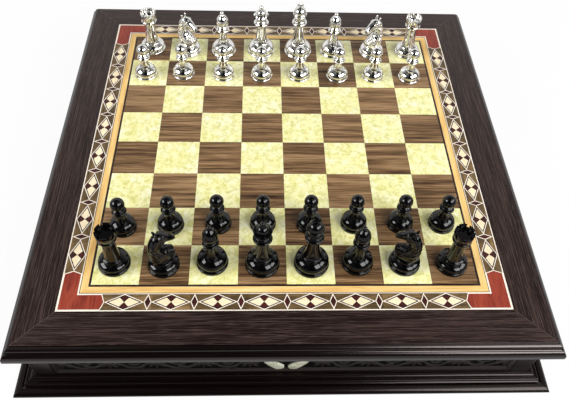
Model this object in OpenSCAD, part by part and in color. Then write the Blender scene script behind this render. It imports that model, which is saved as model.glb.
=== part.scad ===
// Chess box: a square box on a moulded base, with a marquetry chessboard as its top,
// a carved drawer at the front and at the back, and thirty-two cast chessmen.
// Millimetres. +Z is up and the front is -Y. The origin is the middle of the square
// that the felt feet stand on.

/* [Playing field] */
// Side of one square of the playing field
square = 44; // [43:0.5:50]
// Thickness of every veneer of the top
veneer_t = 0.8; // [0.6:0.1:1.2]
// Joint left between neighbouring pieces of veneer or moulding
glue_line = 0.1; // [0.06:0.02:0.2]
// Width of the dark line that covers the outer edge of the playing field
field_line_w = 1.9; // [1:0.1:2.5]
// Width of the maple border
maple_w = 6.2; // [5:0.1:10]
// Width of the dark line between the maple border and the marquetry band
band_line_w = 0.6; // [0.4:0.1:1]

/* [Marquetry band] */
// Width of the band, its white lines included
band_w = 17.4; // [13:0.2:20]
// Width of the white line along the band's outer edge
outer_white_w = 1; // [0.8:0.1:1.8]
// Width of the white line along the band's inner edge
inner_white_w = 0.7; // [0.4:0.1:1]
// Width of the white line round each diamond, lozenge and corner piece
outline_w = 0.7; // [0.4:0.1:0.9]
// Width of the dark line inside the white line of each diamond
diamond_line_w = 0.8; // [0.3:0.1:0.8]
// Where a diamond's edge meets its dividing line, as a share of its half length
diamond_split = 0.3; // [0.2:0.05:0.5]
// Number of diamonds along each side
diamond_count = 8; // [6:1:10]
// Half the width of the small lozenge between two diamonds
lozenge_half = 3.3; // [2.5:0.1:4.5]
// Length of each arm of a corner piece, to its point
elbow_arm = 39.7; // [34:0.1:45]
// How far the pointed end of an arm juts out
elbow_point = 3; // [1.5:0.5:5]

/* [Top] */
// Thickness of the top
top_t = 18; // [12:0.5:20]
// Width of the flat face of the frame rails
rail_w = 31.6; // [28:0.1:45]
// How far the moulded edge of the top reaches beyond the flat face
edge_reach = 8.5; // [6:0.5:14]

/* [Carcase] */
// Height of the drawer bay, from the base to the top
bay_h = 47.8; // [42:0.2:70]
// How far the carcase stands back from the lip of the top
frieze_inset = 11.4; // [8:0.2:16]
// Side of the square corner posts
post_w = 18; // [14:1:24]
// Rounding of the outer corner of a post
post_round = 1.5; // [0.5:0.5:3]
// Thickness of the side panels
panel_t = 12; // [10:0.5:13]
// Thickness of the bottom board
floor_t = 6; // [4:0.5:8]
// Thickness of the board that parts the two drawer bays
divider_t = 10; // [6:1:16]

/* [Base and feet] */
// Height of the base moulding
base_h = 11.7; // [9:0.1:20]
// How far the base moulding reaches beyond the carcase
base_reach = 18; // [12:0.5:24]
// Diameter of the felt feet
felt_d = 20; // [14:1:26]
// Thickness of the felt feet
felt_t = 1; // [0.5:0.1:2]

/* [Carved panels] */
// Width of the plain border round the carved field
field_border = 3; // [2:0.5:9]
// Depth of the carved field
field_depth = 2; // [1:0.5:3]
// Length of a pearl leaf
leaf_l = 27; // [18:1:34]
// Width of a pearl leaf
leaf_w = 10; // [7:0.5:13]
// Thickness of a pearl leaf
leaf_t = 1.6; // [1:0.2:2]
// Gap between the two pearl leaves
leaf_gap = 3.6; // [2:0.2:8]

/* [Drawers] */
// Gap round a drawer front
front_gap = 0.6; // [0.4:0.1:1]
// Thickness of a drawer front
front_t = 12; // [10:0.5:16]
// Clearance between a drawer and what it runs on
running_gap = 0.3; // [0.2:0.05:0.4]
// Thickness of the drawer sides and back
drawer_side_t = 8; // [6:0.5:10]
// Height of the drawer sides and back
drawer_side_h = 39; // [32:0.5:39]
// Thickness of the drawer bottom
drawer_bottom_t = 3; // [2:0.5:5]
// How far the drawer bottom lies above the lower edge of the sides
drawer_bottom_up = 2; // [1:0.5:5]
// Compartments along each of a drawer's two rows
compartment_count = 8; // [4:1:8]
// Thickness of the velvet-covered partitions
partition_t = 2.4; // [1.6:0.2:4]
// Height of the partitions
partition_h = 24; // [15:1:28]
// Height of the guide strips beside the drawers
guide_h = 20; // [12:1:30]
// Width of the strips over the drawer sides
kicker_w = 20; // [14:1:30]

/* [Chessmen] */
// Height of the king
king_h = 69.8; // [64:0.1:80]
// Diameter of the king's base
king_d = 32.6; // [28:0.2:36]
// Height of the queen
queen_h = 64.4; // [60:0.1:74]
// Diameter of the queen's base
queen_d = 31.8; // [28:0.2:35]
// Height of the bishop
bishop_h = 56.8; // [50:0.1:64]
// Diameter of the bishop's base
bishop_d = 29.2; // [25:0.2:32]
// Height of the knight
knight_h = 52; // [46:0.5:60]
// Diameter of the knight's base
knight_d = 29.2; // [25:0.2:32]
// How far the knights turn from looking inwards towards the other army, in degrees
knight_turn = 34; // [0:1:60]
// Height of the rook
rook_h = 52; // [46:0.5:60]
// Diameter of the rook's base
rook_d = 29.2; // [25:0.2:32]
// Width of the gaps between a rook's battlements
battlement_gap = 2.2; // [1.6:0.1:3]
// Height of the pawn
pawn_h = 42; // [36:0.5:48]
// Diameter of the pawn's base
pawn_d = 25.4; // [22:0.2:28]
// Height of the rim that each man stands on
rim_h = 3.5; // [2.5:0.1:4.5]
// Diameter of the ball on a queen's and on a bishop's head
ball_d = 4.6; // [3.6:0.1:5.6]
// Width of the cut in a bishop's mitre
mitre_cut = 1; // [0.6:0.1:1.6]
// Thickness of the cross on a king's crown
cross_t = 1.8; // [1.2:0.1:2.6]

/* [Hidden] */
$fn = 64;
eps = 0.01;

// Levels, from the floor up
z_base = felt_t;
z_bay = z_base + base_h;
z_top = z_bay + bay_h;
z_core = z_top + top_t - veneer_t;
z_face = z_top + top_t;

// Half widths of the top's rings, from the middle out
field_half = 4 * square;
field_in = field_half - field_line_w;
maple_in = field_half + glue_line;
maple_out = maple_in + maple_w;
band_in = maple_out + band_line_w;
band_out = band_in + band_w;
flat_half = band_out + rail_w;
lip_half = flat_half + edge_reach;

// Half widths of the carcase
frieze = lip_half - frieze_inset;
bay_half = frieze - post_w;
panel_in = frieze - panel_t;

// Marquetry pattern: the strip between the band's two white lines
strip_in = band_in + inner_white_w;
strip_out = band_out - outer_white_w;
strip_mid = (strip_in + strip_out) / 2;
strip_half = (strip_out - strip_in) / 2;
run_half = strip_out - elbow_arm;
diamond_half = run_half / diamond_count - lozenge_half * (diamond_count - 1) / diamond_count;
diamond_pitch = 2 * (diamond_half + lozenge_half);

// Drawers
drawer_half = bay_half - front_gap;
drawer_back = divider_t / 2 + running_gap;
drawer_low = z_bay + running_gap;
front_low = z_bay + front_gap;
front_high = z_top - front_gap;
bottom_low = drawer_low + drawer_bottom_up;
bottom_high = bottom_low + drawer_bottom_t;
side_high = drawer_low + drawer_side_h;
inner_half = drawer_half - drawer_side_t;
inner_front = frieze - front_t;
inner_back = drawer_back + drawer_side_t;
inner_mid = (inner_front + inner_back) / 2;
compartment_w = (2 * inner_half - (compartment_count - 1) * partition_t) / compartment_count;

// Colours
wenge = [0.17, 0.12, 0.12];
walnut = [0.45, 0.32, 0.23];
maple = [0.88, 0.70, 0.43];
pearl = [0.93, 0.92, 0.70];
cream = [0.97, 0.89, 0.71];
ground = [0.48, 0.35, 0.22];
dark_red = [0.36, 0.13, 0.11];
padauk = [0.64, 0.21, 0.17];
white_line = [0.96, 0.89, 0.81];
beech = [0.78, 0.62, 0.43];
velvet = [0.35, 0.05, 0.08];
felt = [0.12, 0.25, 0.14];
silver = [0.78, 0.78, 0.76];
black = [0.05, 0.05, 0.05];

// The men of a back rank from left to right, and the way each one faces along X
RANK = ["rook", "knight", "bishop", "queen", "king", "bishop", "knight", "rook"];
RANK_NAMES = ["left_rook", "left_knight", "left_bishop", "queen",
              "king", "right_bishop", "right_knight", "right_rook"];
ARMIES = ["black", "silver"];

// How far off the middle of its square each man stands, row by row from the back
STANDS = [
    [[1, 0], [0, -3.5], [-2, -4], [-1, -2.5], [-0.5, -3], [-2.5, -3], [1, -3], [1, -2.5]],
    [[-2, -3.5], [-3, -2], [-0.5, -3.5], [-0.5, -4], [-0.5, -3.5], [0, -4], [-2, -3.5], [-3, -4.5]],
    [], [], [], [],
    [[0.5, -1.5], [1, 1], [2, 2.5], [0.5, 2.5], [1, 2.5], [0, 3], [1, 3], [-2.5, 3]],
    [[-2, 2], [-1.5, 0.5], [-1.5, 3], [0, 1.5], [1, 2], [-0.5, 2.5], [-1, 2], [-1, 1]],
];

BOX_NODES = [
    "base_moulding", "bottom_board", "corner_posts", "carved_side_panels", "bay_divider",
    "drawer_runners", "felt_feet", "board_core", "frame_rails", "light_squares",
    "dark_squares", "dark_lines", "maple_border", "white_stringing", "band_ground",
    "band_diamonds", "band_red_pieces", "corner_elbows",
];
DRAWER_NODES = ["drawer_front", "drawer_sides", "drawer_bottom", "drawer_partitions", "pearl_leaves"];

// ---------------------------------------------------------------- shared shapes

// Points along an arc of an ellipse with centre c and half axes rad
function arc(c, rad, a0, a1, n = 6) = [
    for (i = [0:n]) let (a = a0 + (a1 - a0) * i / n) [c.x + rad.x * cos(a), c.y + rad.y * sin(a)]
];

// Points after p0 along a curve to p2 that leaves and arrives towards p1
function bend(p0, p1, p2, n = 7) = [
    for (i = [1:n]) let (t = i / n) (1 - t) * (1 - t) * p0 + 2 * t * (1 - t) * p1 + t * t * p2
];

// A square ring between two half widths
module ring(half_in, half_out) {
    difference() {
        square_of(half_out);
        square_of(half_in);
    }
}

module square_of(half) {
    translate([-half, -half]) square(2 * half);
}

// Copies on the front, right, back and left side
module four_sides() {
    for (a = [0:90:270]) rotate(a) children();
}

// A quarter of the plane, mitred at both ends, that opens towards the front
module mitre_wedge(reach) {
    translate([0, -glue_line]) polygon([[0, 0], [-reach, -reach], [reach, -reach]]);
}

// Four mitred lengths of a moulding; the outline's x is the distance from the middle
module mitred_moulding(outline, reach) {
    four_sides() intersection() {
        rotate([90, 0, -90]) linear_extrude(2 * reach, center = true) polygon(outline);
        translate([0, 0, -eps]) linear_extrude(z_face + 1) mitre_wedge(2 * reach);
    }
}

// Four mitred strips of veneer
module mitred_strips(half_in, half_out) {
    linear_extrude(veneer_t) four_sides() intersection() {
        translate([-half_out, -half_out]) square([2 * half_out, half_out - half_in]);
        mitre_wedge(2 * half_out);
    }
}

// ---------------------------------------------------------------- base and carcase

// Cross-section of the base moulding: ledge, cove, bead, groove and a broad ovolo
function base_outline() = let (r = base_reach, h = base_h) concat(
    [[bay_half, z_base], [frieze + r - 0.5, z_base], [frieze + r, z_base + 0.12 * h]],
    arc([frieze + 0.55 * r, z_base + 0.13 * h], [0.45 * r, 0.33 * h], 0, 82, 8),
    [[frieze + 0.545 * r, z_base + 0.46 * h]],
    arc([frieze + 0.40 * r, z_base + 0.65 * h], [0.085 * r, 0.13 * h], -60, 130, 6),
    arc([frieze + 0.335 * r, z_base + h], [0.19 * r, 0.19 * h], 270, 180, 5),
    [[bay_half, z_base + h]]
);

module base_moulding() {
    color(wenge) mitred_moulding(base_outline(), frieze + base_reach);
}

module bottom_board() {
    color(beech) translate([0, 0, z_bay - floor_t]) linear_extrude(floor_t) square_of(bay_half);
}

// Four feet under the corners of the base
module felt_feet() {
    color(felt) four_sides()
        translate([-frieze + post_w / 2, -frieze + post_w / 2, 0]) cylinder(d = felt_d, h = felt_t);
}

module corner_posts() {
    color(wenge) translate([0, 0, z_bay]) linear_extrude(bay_h) four_sides()
        translate([-frieze, -frieze]) difference() {
            square(post_w);
            difference() {
                translate([-eps, -eps]) square(post_round);
                translate([post_round, post_round]) circle(post_round);
            }
        }
}

// A board with a sunk field whose sides slope, standing on XY with its face at y = 0
module sunk_board(w, h, t) {
    edge = field_border;
    deep = field_border + field_depth;
    difference() {
        translate([-w / 2, 0, 0]) cube([w, t, h]);
        intersection() {
            linear_extrude(h) polygon([
                [1 - edge + w / 2, -1], [w / 2 - deep, field_depth],
                [deep - w / 2, field_depth], [edge - 1 - w / 2, -1],
            ]);
            rotate([90, 0, 90]) linear_extrude(w, center = true) polygon([
                [-1, edge - 1], [field_depth, deep], [field_depth, h - deep], [-1, h - edge + 1],
            ]);
        }
    }
}

// The left and the right panel, each between two posts
module carved_side_panels() {
    color(wenge) for (a = [-90, 90]) rotate(a)
        translate([0, -frieze, z_bay]) sunk_board(2 * bay_half, bay_h, panel_t);
}

module bay_divider() {
    color(beech) translate([-panel_in, -divider_t / 2, z_bay]) cube([2 * panel_in, divider_t, bay_h]);
}

// Guides beside the drawer sides, and strips over them that keep an open drawer level
module drawer_runners() {
    length = bay_half - divider_t / 2;
    guide_w = panel_in - drawer_half - running_gap;
    kicker_t = z_top - side_high - running_gap;
    color(beech) for (a = [0, 180], s = [-1, 1]) rotate(a) {
        translate([s > 0 ? panel_in - guide_w : -panel_in, -bay_half, z_bay])
            cube([guide_w, length, guide_h]);
        translate([s > 0 ? panel_in - kicker_w : -panel_in, -bay_half, z_top - kicker_t])
            cube([kicker_w, length, kicker_t]);
    }
}

// ---------------------------------------------------------------- the top

module board_core() {
    color(beech) translate([0, 0, z_top]) linear_extrude(z_core - z_top) square_of(band_out);
}

// Cross-section of a frame rail: flat face, fillet, two beads with a groove, and the lip
function rail_outline() = let (r = edge_reach, t = top_t) concat(
    [[band_out, z_top], [flat_half + 0.9 * r, z_top], [lip_half, z_top + 0.08 * t]],
    arc([flat_half + 0.46 * r, z_top + 0.17 * t], [0.54 * r, 0.33 * t], 0, 90, 7),
    [[flat_half + 0.38 * r, z_top + 0.5 * t], [flat_half + 0.38 * r, z_top + 0.57 * t]],
    arc([flat_half + 0.05 * r, z_top + 0.57 * t], [0.41 * r, 0.35 * t], 0, 90, 6),
    [[flat_half, z_top + 0.92 * t], [flat_half, z_face], [band_out, z_face]]
);

module frame_rails() {
    color(wenge) mitred_moulding(rail_outline(), lip_half);
}

// The squares of one colour: parity 0 is dark, 1 is light. The outer ones are trimmed
// to the dark line round the field
module field_squares(parity) {
    side = square - glue_line;
    translate([0, 0, z_core]) linear_extrude(veneer_t) intersection() {
        square_of(field_in - glue_line);
        for (col = [0:7], row = [0:7]) if ((col + row) % 2 == parity)
            translate([(col - 3.5) * square - side / 2, (3.5 - row) * square - side / 2]) square(side);
    }
}

module dark_squares() {
    color(walnut) field_squares(0);
}

module light_squares() {
    color(pearl) field_squares(1);
}

module dark_lines() {
    color(wenge) translate([0, 0, z_core]) linear_extrude(veneer_t) {
        ring(field_in, field_half);
        ring(maple_out, band_in);
        along_band(diamond_count) difference() {
            polygon(diamond_line(0));
            polygon(diamond_line(diamond_line_w));
        }
    }
}

module maple_border() {
    color(maple) translate([0, 0, z_core]) mitred_strips(maple_in, maple_out);
}

// The outline p, drawn anticlockwise, with its edges moved in by d
function inset(p, d) = [for (i = [0:len(p) - 1])
    let (n = len(p), u = p[i] - p[(i + n - 1) % n], v = p[(i + 1) % n] - p[i],
         a = [-u.y, u.x] / norm(u), b = [-v.y, v.x] / norm(v)) p[i] + d * (a + b) / (1 + a * b)];

function rhombus(a, b) = [[a, 0], [0, b], [-a, 0], [0, -b]];

// Copies at the middle of each diamond, or of each lozenge, along the four sides
module along_band(count) {
    four_sides() for (i = [0:count - 1])
        translate([(i - (count - 1) / 2) * diamond_pitch, -strip_mid]) children();
}

diamond = rhombus(diamond_half + glue_line, strip_half + glue_line);
lozenge = rhombus(lozenge_half + glue_line, strip_half + glue_line);

// A corner piece has two pointed arms
elbow = [
    [run_half, -strip_mid], [run_half + elbow_point, -strip_out], [strip_out, -strip_out],
    [strip_out, -run_half - elbow_point], [strip_mid, -run_half],
    [strip_in, -run_half - elbow_point], [strip_in, -strip_in], [run_half + elbow_point, -strip_in],
];

// All that the white lines go round, with its edges moved in by d
module band_pieces(d) {
    along_band(diamond_count) polygon(inset(diamond, d));
    along_band(diamond_count - 1) polygon(inset(lozenge, d));
    four_sides() polygon(inset(elbow, d));
}

module ground_shapes() {
    difference() {
        ring(strip_in, strip_out);
        band_pieces(-glue_line / 2);
    }
}

module band_ground() {
    color(ground) translate([0, 0, z_core]) linear_extrude(veneer_t) ground_shapes();
}

// Border lines and outlines: what the other pieces of the band leave open
module white_stringing() {
    color(white_line) translate([0, 0, z_core]) linear_extrude(veneer_t) {
        difference() {
            ring(band_in, band_out);
            ground_shapes();
            band_pieces(outline_w);
        }
    }
}

// The dark line inside a diamond's white line, with its edges moved in by d
function diamond_line(d) = inset(diamond, outline_w + glue_line / 2 + d);

// One of the four kites of a diamond: tip is its outer corner and from tip to side, a
// share of the diamond's edge, lies the kite's own edge
function kite(tip, side, share) = inset([
    [0, 0], tip + share * ([side.x, -side.y] - tip), tip, tip + share * (side - tip),
], glue_line / 2);

// Two opposite kites of a diamond: along the band (k = 0) or across it (k = 1)
module diamond_kites(k) {
    inner = inset(diamond_line(diamond_line_w), glue_line / 2);
    for (s = [0, 180]) rotate(s)
        if (k == 0) polygon(kite(inner[0], inner[1], 1 - diamond_split));
        else rotate(90) polygon(kite([inner[1].y, 0], [0, inner[0].x], diamond_split));
}

// The cream kites of the diamonds, which point along the band
module band_diamonds() {
    color(cream) translate([0, 0, z_core]) linear_extrude(veneer_t)
        along_band(diamond_count) diamond_kites(0);
}

// The dark kites of the diamonds, which point across the band, and the lozenges
module band_red_pieces() {
    color(dark_red) translate([0, 0, z_core]) linear_extrude(veneer_t) {
        along_band(diamond_count) diamond_kites(1);
        along_band(diamond_count - 1) polygon(inset(lozenge, outline_w + glue_line / 2));
    }
}

module corner_elbows() {
    color(padauk) translate([0, 0, z_core]) linear_extrude(veneer_t)
        four_sides() polygon(inset(elbow, outline_w + glue_line / 2));
}

// ---------------------------------------------------------------- drawers

// Everything of a drawer is drawn at the front and turned round for the back one
module at_end(end) {
    rotate(end == "front" ? 0 : 180) children();
}

module drawer_front(end) {
    color(wenge) at_end(end) translate([0, -frieze, front_low])
        sunk_board(2 * drawer_half, front_high - front_low, front_t);
}

module drawer_sides(end) {
    side_l = inner_front - inner_back;
    color(beech) at_end(end) translate([0, 0, drawer_low]) {
        for (x = [-drawer_half, inner_half]) translate([x, -inner_front, 0])
            cube([drawer_side_t, side_l - glue_line, drawer_side_h]);
        translate([-drawer_half, -inner_back, 0]) cube([2 * drawer_half, drawer_side_t, drawer_side_h]);
    }
}

module drawer_bottom(end) {
    color(beech) at_end(end) translate([-inner_half, -inner_front, bottom_low])
        cube([2 * inner_half, inner_front - inner_back, drawer_bottom_t]);
}

// One long partition and short ones on either side of it
module drawer_partitions(end) {
    row_l = (inner_front - inner_back - partition_t) / 2;
    color(velvet) at_end(end) translate([0, 0, bottom_high]) {
        translate([-inner_half, -inner_mid - partition_t / 2, 0])
            cube([2 * inner_half, partition_t, partition_h]);
        for (i = [1:compartment_count - 1], y = [-inner_front, -inner_back - row_l + glue_line])
            translate([-inner_half + i * (compartment_w + partition_t) - partition_t, y, 0])
                cube([partition_t, row_l - glue_line, partition_h]);
    }
}

// A leaf with a round lower end and a pointed tip, drawn along +X from the round end
module leaf_shape() {
    polygon(concat(
        arc([leaf_w / 2, 0], [leaf_w / 2, leaf_w / 2], 90, 270, 10),
        bend([leaf_w / 2, -leaf_w / 2], [0.65 * leaf_l, -leaf_w / 2], [leaf_l, 0]),
        bend([leaf_l, 0], [0.6 * leaf_l, leaf_w * 0.42], [leaf_w / 2, leaf_w / 2])
    ));
}

// Two leaves on the sunk field, low in its middle, that lean out to the left and right
module pearl_leaves(end) {
    lean = 46;
    low = front_low + field_border + field_depth + glue_line + leaf_w / 2;
    color(pearl) at_end(end) translate([0, -frieze + field_depth, 0]) rotate([90, 0, 0])
        linear_extrude(leaf_t) for (s = [0, 1]) mirror([s, 0])
            translate([leaf_gap / 2 + leaf_w / 2, low]) rotate(lean) translate([-leaf_w / 2, 0])
                leaf_shape();
}

// ---------------------------------------------------------------- chessmen

// A turned foot: a rim with rounded edges and a groove over it
function foot(r) = let (e = rim_h) [
    [0, 0], [r - 0.17 * e, 0], [r, 0.17 * e], [r, 0.63 * e], [r - 0.14 * e, 0.89 * e], [r - 0.43 * e, e],
];

// A ring that stands out round a stem as far as r
function bead(r, z, size, n = 6) = arc([r - size, z], [size, size], -90, 90, n);

// The ball at the top of a man of height h
function top_ball(h) = let (b = ball_d / 2) arc([0, h - b], [b, b], -45, 90, 6);

function king_outline(r, h) = concat(
    foot(r), arc([0, 0.1 * h], [0.955 * r, 0.128 * h], -22, 54, 8), bead(0.6 * r, 0.226 * h, 0.074 * r),
    bend([0.52 * r, 0.242 * h], [0.34 * r, 0.33 * h], [0.325 * r, 0.55 * h]),
    bend([0.325 * r, 0.55 * h], [0.325 * r, 0.59 * h], [0.42 * r, 0.597 * h], 4),
    bead(0.537 * r, 0.618 * h, 0.08 * r), bead(0.44 * r, 0.662 * h, 0.068 * r),
    bend([0.34 * r, 0.682 * h], [0.345 * r, 0.71 * h], [0.37 * r, 0.73 * h], 3),
    bead(0.455 * r, 0.752 * h, 0.06 * r), bead(0.495 * r, 0.788 * h, 0.066 * r),
    arc([0, 0.81 * h], [0.435 * r, 0.1 * h], 0, 80, 7), [[0, 0.91 * h]]
);

function queen_outline(r, h) = concat(
    foot(r), arc([0, 0.105 * h], [0.955 * r, 0.133 * h], -22, 54, 8), bead(0.6 * r, 0.236 * h, 0.07 * r),
    bend([0.52 * r, 0.253 * h], [0.34 * r, 0.34 * h], [0.325 * r, 0.57 * h]),
    bend([0.325 * r, 0.57 * h], [0.325 * r, 0.615 * h], [0.43 * r, 0.626 * h], 4),
    bead(0.55 * r, 0.648 * h, 0.076 * r), bead(0.42 * r, 0.692 * h, 0.062 * r),
    bend([0.33 * r, 0.715 * h], [0.35 * r, 0.76 * h], [0.547 * r, 0.82 * h], 5),
    [[0.5 * r, 0.833 * h]], arc([0, 0.838 * h], [0.36 * r, 0.083 * h], 0, 70, 6), top_ball(h)
);

function bishop_outline(r, h) = concat(
    foot(r), arc([0, 0.12 * h], [0.95 * r, 0.162 * h], -18, 62, 9),
    bend([0.43 * r, 0.275 * h], [0.31 * r, 0.33 * h], [0.29 * r, 0.48 * h]),
    bend([0.29 * r, 0.48 * h], [0.29 * r, 0.53 * h], [0.41 * r, 0.548 * h], 4),
    bead(0.52 * r, 0.575 * h, 0.082 * r), [[0.33 * r, 0.603 * h]], bead(0.435 * r, 0.626 * h, 0.078 * r),
    bend([0.27 * r, 0.655 * h], [0.555 * r, 0.69 * h], [0.48 * r, 0.785 * h], 6),
    bend([0.48 * r, 0.785 * h], [0.41 * r, 0.872 * h], [0.15 * r, 0.915 * h], 6), top_ball(h)
);

function rook_outline(r, h) = concat(
    foot(r), arc([0, 0.125 * h], [0.95 * r, 0.108 * h], -24, 50, 8), bead(0.66 * r, 0.234 * h, 0.082 * r),
    bend([0.54 * r, 0.252 * h], [0.43 * r, 0.36 * h], [0.4 * r, 0.68 * h]),
    bend([0.4 * r, 0.68 * h], [0.41 * r, 0.74 * h], [0.53 * r, 0.757 * h], 4),
    bead(0.6 * r, 0.782 * h, 0.068 * r),
    [[0.545 * r, 0.809 * h], [0.615 * r, 0.912 * h], [0.615 * r, h], [0, h]]
);

function knight_outline(r, h) = concat(
    foot(r), arc([0, 0.125 * h], [0.95 * r, 0.108 * h], -24, 50, 8), bead(0.68 * r, 0.236 * h, 0.082 * r),
    [[0, 0.26 * h]]
);

function pawn_outline(r, h) = concat(
    foot(r), arc([0, 0.145 * h], [0.95 * r, 0.188 * h], -14, 62, 9),
    bend([0.455 * r, 0.322 * h], [0.33 * r, 0.37 * h], [0.31 * r, 0.5 * h]),
    bend([0.31 * r, 0.5 * h], [0.31 * r, 0.55 * h], [0.42 * r, 0.58 * h], 4),
    bead(0.55 * r, 0.61 * h, 0.086 * r), [[0.36 * r, 0.64 * h]], bead(0.47 * r, 0.667 * h, 0.07 * r),
    arc([0, h - 0.52 * r], [0.52 * r, 0.52 * r], -54, 90, 12)
);

module turned(outline) {
    rotate_extrude() polygon(outline);
}

// A cross with flared arms stands on the king's crown
module king() {
    arm = 0.05 * king_h;
    root = cross_t / 3;
    turned(king_outline(king_d / 2, king_h));
    translate([0, cross_t / 2, king_h - arm]) rotate([90, 0, 0]) linear_extrude(cross_t)
        for (a = [0:90:270]) rotate(a)
            polygon([[-root, -root], [-0.4 * arm, arm], [0.4 * arm, arm], [root, -root]]);
}

// The rim of the queen's coronet is scalloped
module queen() {
    r = queen_d / 2;
    difference() {
        turned(queen_outline(r, queen_h));
        for (i = [0:7]) rotate(i * 45 + 22.5) translate([0.6 * r, 0, 0.846 * queen_h])
            rotate([0, 90, 0]) cylinder(h = 0.3 * r, r = 0.034 * queen_h, center = true);
    }
}

// A slanted cut in the mitre
module bishop() {
    r = bishop_d / 2;
    difference() {
        turned(bishop_outline(r, bishop_h));
        translate([0.2 * r, -r / 2, 0.83 * bishop_h]) rotate([0, -50, 0]) cube([r, r, mitre_cut]);
    }
}

// The tower is hollow at the top, with six battlements
module rook() {
    r = rook_d / 2;
    difference() {
        turned(rook_outline(r, rook_h));
        translate([0, 0, 0.905 * rook_h]) cylinder(r = 0.44 * r, h = rook_h);
        for (i = [0:2]) rotate(i * 60) translate([-r, -battlement_gap / 2, 0.93 * rook_h])
            cube([2 * r, battlement_gap, rook_h]);
    }
}

module pawn() {
    turned(pawn_outline(pawn_d / 2, pawn_h));
}

// Sections of the horse's neck and head, as shares of the knight's height: a point of the
// mane or the nose, the one across from it on the chest or the jaw, and half the width
HORSE = [
    [[-0.180, 0.240], [0.185, 0.240], 0.150], [[-0.200, 0.340], [0.205, 0.340], 0.150],
    [[-0.210, 0.440], [0.175, 0.430], 0.138], [[-0.212, 0.540], [0.095, 0.500], 0.120],
    [[-0.205, 0.630], [0.030, 0.555], 0.105], [[-0.185, 0.720], [0.005, 0.610], 0.098],
    [[-0.145, 0.800], [0.005, 0.655], 0.096], [[-0.085, 0.870], [0.015, 0.685], 0.098],
    [[-0.015, 0.915], [0.040, 0.700], 0.098], [[0.065, 0.905], [0.080, 0.700], 0.092],
    [[0.135, 0.865], [0.120, 0.690], 0.082], [[0.195, 0.810], [0.160, 0.670], 0.072],
    [[0.245, 0.755], [0.200, 0.650], 0.066], [[0.290, 0.680], [0.250, 0.640], 0.050],
];

// A tube through the sections, each an ellipse of n points
module horse_neck(s, n = 14) {
    points = [for (p = HORSE, i = [0:n - 1])
        let (a = 360 * i / n, mid = (p[0] + p[1]) / 2, half = (p[0] - p[1]) / 2)
            s * [mid.x + half.x * cos(a), p[2] * sin(a), mid.y + half.y * cos(a)]];
    last = (len(HORSE) - 1) * n;
    polyhedron(points, concat(
        [[for (i = [0:n - 1]) n - 1 - i]], [[for (i = [0:n - 1]) last + i]],
        [for (j = [0:len(HORSE) - 2], i = [0:n - 1]) let (k = (i + 1) % n, a = j * n, b = a + n)
            each [[a + i, a + k, b + i], [a + k, b + k, b + i]]]
    ));
}

// A horse's head on a turned foot; it looks along +X
module knight() {
    s = knight_h;
    turned(knight_outline(knight_d / 2, s));
    horse_neck(s);
    // chest
    translate([0.07 * s, 0, 0.25 * s])
        turned(concat([[0, 0], [0.12 * s, 0]], arc([0, 0.08 * s], [0.135 * s, 0.135 * s], 0, 90, 7)));
    // ears
    for (y = [-0.045 * s, 0.045 * s]) translate([-0.055 * s, y, 0.88 * s]) rotate([0, -14, 0])
        cylinder(r1 = 0.036 * s, r2 = 0.006 * s, h = 0.12 * s, $fn = 24);
}

// One man on its square, a little off the middle. All face inwards, and the knights
// also turn a little towards the other army
module man(kind, army, col, row) {
    off = STANDS[row][col];
    turn = (kind == "knight" ? knight_turn : 0) * (army == "black" ? 1 : -1);
    color(army == "black" ? black : silver)
        translate([(col - 3.5) * square + off.x, (3.5 - row) * square + off.y, z_face])
            rotate(col > 3 ? 180 - turn : turn) {
                if (kind == "king") king();
                if (kind == "queen") queen();
                if (kind == "bishop") bishop();
                if (kind == "knight") knight();
                if (kind == "rook") rook();
                if (kind == "pawn") pawn();
            }
}

// ---------------------------------------------------------------- the nodes

base_moulding();
bottom_board();
corner_posts();
carved_side_panels();
bay_divider();
drawer_runners();
felt_feet();
board_core();
frame_rails();
light_squares();
dark_squares();
dark_lines();
maple_border();
white_stringing();
band_ground();
band_diamonds();
band_red_pieces();
corner_elbows();

for (end = ["front", "back"]) {
    drawer_front(end);
    drawer_sides(end);
    drawer_bottom(end);
    drawer_partitions(end);
    pearl_leaves(end);
}

// The black men stand at the front and the silver ones at the back
for (army = ARMIES, col = [0:7]) {
    back_row = army == "black" ? 7 : 0;
    pawn_row = army == "black" ? 6 : 1;
    man(RANK[col], army, col, back_row);
    man("pawn", army, col, pawn_row);
}
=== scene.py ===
import math

import bmesh
import bpy
import numpy as np
from mathutils import Matrix, Vector


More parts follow.
